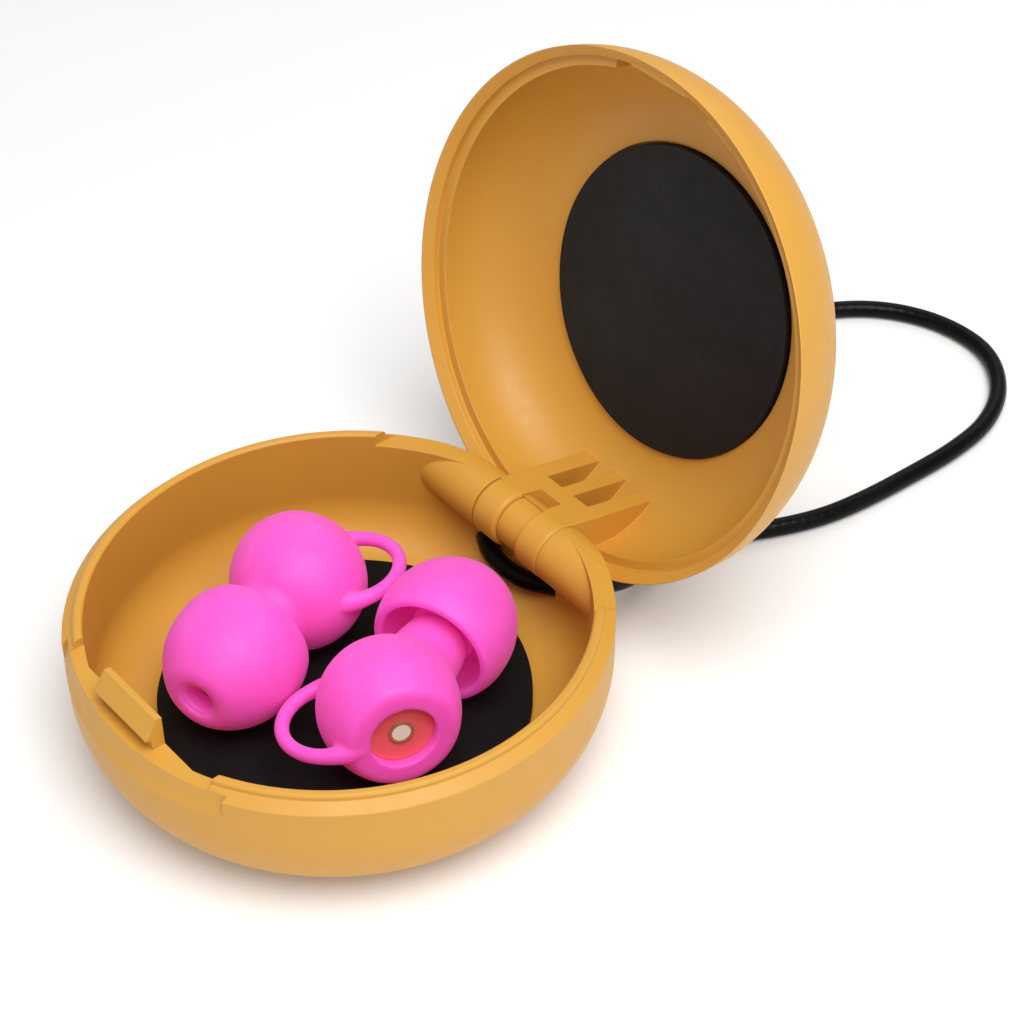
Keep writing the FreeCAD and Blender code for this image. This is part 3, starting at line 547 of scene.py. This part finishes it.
# side, centre of the round body, heading of the stem in degrees, turn about the stem in degrees
PLUGS = [
    ("left", Vector((-7.95, 1.15, 9.91)) * MM, -67.3, 9.7),
    ("right", Vector((9.5, -2.2, 9.91)) * MM, 113.3, -9.6),
]
body_silicone = silicone("body_silicone", PINK, PINK_DEEP)
tip_silicone = silicone("tip_silicone", PINK, PINK_DEEP)
FILTER_MATERIALS = {
    "filter_housing": hard_plastic("filter_red", (0.86, 0.115, 0.14), (0.90, 0.14, 0.16), 0.38),
    "filter_ring": hard_plastic("filter_brown", (0.38, 0.13, 0.06), (0.45, 0.17, 0.08), 0.45),
    "filter_core": hard_plastic("filter_cream", (0.84, 0.81, 0.70), (0.88, 0.85, 0.75), 0.5),
    "filter_mesh": woven("filter_mesh", (0.12, 0.12, 0.12), (0.42, 0.42, 0.42), 0.12 * MM),
    "sound_tube": hard_plastic("tube_pink", (0.86, 0.075, 0.47), (0.90, 0.09, 0.50), 0.55),
}


def paint_node(name, material):
    """Give a carried-over CAD node its finished material."""
    data = nodes[name].data
    data.materials.clear()
    data.materials.append(material)


for side, centre, heading, tip_over in PLUGS:
    place = (Matrix.Translation(centre) @ Matrix.Rotation(math.radians(heading), 4, "Z")
             @ Matrix.Rotation(math.radians(tip_over), 4, "X"))
    body = smooth(moved(plug_body(side + "_body"), place), body_silicone)
    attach(body, side + "_plug")
    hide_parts(side + "_plug_body")
    tip = smooth(moved(ear_tip(side + "_tip_skirt"), place), tip_silicone)
    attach(tip, side + "_tip")
    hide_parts(side + "_ear_tip")
    for piece, material in FILTER_MATERIALS.items():
        paint_node(f"{side}_{piece}", material)


# ---------------------------------------------------------------- pads

def pad_disc(name, radius, bottom, top, edge, rounded_top, wobble, seed):
    """Die-cut foam disc: a polar sheet with a soft rim, slow dents and a slightly uneven cut."""
    across = [radius * k / 40 for k in range(41)]
    around = 180
    drift = Vector((seed, 2.0 * seed, 0.5))
    outer = top if rounded_top else bottom
    inner = bottom if rounded_top else top
    outward = 1 if rounded_top else -1
    rim = [(radius - edge + edge * math.sin(a), outer - outward * edge * (1 - math.cos(a)))
           for a in (math.pi / 2 * k / 6 for k in range(1, 7))]
    show = [(r, outer) for r in across[1:] if r < radius - edge - 0.01] + [(radius - edge, outer)]
    hidden = [(radius, inner), (radius / 2, inner)]
    line = show + rim + hidden
    vertices = [(0.0, 0.0, outer * MM)]
    for r, z in line:
        for k in range(around):
            angle = 2 * math.pi * k / around
            spot = Vector((3 * math.cos(angle), 3 * math.sin(angle), 0)) + drift
            cut = 1 + wobble * noise.noise(spot) / radius
            x, y = r * cut * math.cos(angle), r * cut * math.sin(angle)
            dent = 0.05 * noise.noise(Vector((x, y, 0)) * 0.25 + drift) if z == outer else 0.0
            vertices.append((x * MM, y * MM, (z - outward * abs(dent)) * MM))
    vertices.append((0.0, 0.0, inner * MM))
    faces = [(0, 1 + k, 1 + (k + 1) % around) for k in range(around)]
    for ring in range(len(line) - 1):
        low = 1 + ring * around
        for k in range(around):
            after = (k + 1) % around
            faces.append((low + k, low + around + k, low + around + after, low + after))
    last = 1 + (len(line) - 1) * around
    faces += [(last + (k + 1) % around, last + k, len(vertices) - 1) for k in range(around)]
    if not rounded_top:
        faces = [tuple(reversed(face)) for face in faces]
    return new_mesh(name, vertices, faces)


HINGE = Vector((0.0, 21.2, 10.3)) * MM
OPEN_ANGLE = 104.5
opened = (Matrix.Translation(HINGE) @ Matrix.Rotation(math.radians(-OPEN_ANGLE), 4, "X")
          @ Matrix.Translation(-HINGE))
base_foam = foam("base_foam", (0.003, 0.003, 0.003), (0.011, 0.0105, 0.01), 0.16 * MM, 0.012 * MM, 0.75)
lid_foam = foam("lid_foam", (0.009, 0.009, 0.0088), (0.02, 0.02, 0.02), 0.14 * MM, 0.004 * MM, 0.46)
base_disc = pad_disc("base_foam_disc", radius=16.8, bottom=2.12, top=3.71, edge=0.3,
                     rounded_top=True, wobble=0.12, seed=4.0)
base_pad = smooth(base_disc, base_foam)
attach(base_pad, "base")
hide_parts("base_pad")
lid_disc = pad_disc("lid_foam_disc", radius=14.4, bottom=22.08, top=22.83, edge=0.15,
                    rounded_top=False, wobble=0.05, seed=9.0)
lid_pad = smooth(moved(lid_disc, opened), lid_foam)
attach(lid_pad, "lid")
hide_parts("lid_pad")


# ---------------------------------------------------------------- carried-over CAD nodes

shell_plastic = case_plastic("case_plastic")
paint_node("base_shell", shell_plastic)
paint_node("lid_shell", shell_plastic)
paint_node("hinge_pin", drawn_steel("pin_steel"))
adhesive = hard_plastic("adhesive_film", (0.62, 0.60, 0.52), (0.70, 0.68, 0.60), 0.3)
paint_node("base_pad_adhesive", adhesive)
paint_node("lid_pad_adhesive", adhesive)
paint_node("cord_joiner", hard_plastic("joiner_black", (0.012, 0.012, 0.013), (0.02, 0.02, 0.021), 0.5))


# ---------------------------------------------------------------- floor and light

FLOOR_REACH = 3
WHITE = (1.0, 1.0, 1.0)

floor_corners = [(x * FLOOR_REACH, y * FLOOR_REACH, 0) for x, y in ((-1, -1), (1, -1), (1, 1), (-1, 1))]
floor = new_mesh("floor", floor_corners, [(0, 1, 2, 3)])
floor_paint, floor_tree, floor_shader = new_material("floor_white")
floor_shader.inputs["Base Color"].default_value = opaque((0.82, 0.82, 0.82))
floor_shader.inputs["Roughness"].default_value = 0.9
floor_shader.inputs["Specular IOR Level"].default_value = 0.1
floor_shader.inputs["Emission Color"].default_value = opaque(WHITE)
floor_shader.inputs["Emission Strength"].default_value = 0.1
floor.data.materials.append(floor_paint)

world = bpy.data.worlds.new("studio")
bpy.context.scene.world = world
world.use_nodes = True
sky = world.node_tree.nodes["Background"]
sky.inputs["Color"].default_value = opaque(WHITE)
sky.inputs["Strength"].default_value = 0.42
bpy.context.scene.view_settings.view_transform = "Standard"

# name, place in millimetres, size in metres, watts
LIGHTS = [
    ("key", (150, -40, 380), 0.30, 1.55),
    ("fill", (330, 60, 170), 0.30, 0.12),
    ("back", (-120, 260, 260), 0.25, 0.15),
]
for name, spot, width, watts in LIGHTS:
    lamp = bpy.data.lights.new(name, "AREA")
    lamp.shape = "DISK"
    lamp.size = width
    lamp.energy = watts
    holder = bpy.data.objects.new(name, lamp)
    holder.location = Vector(spot) * MM
    towards = AIM - holder.location
    holder.rotation_euler = towards.to_track_quat("-Z", "Y").to_euler()
    bpy.context.collection.objects.link(holder)
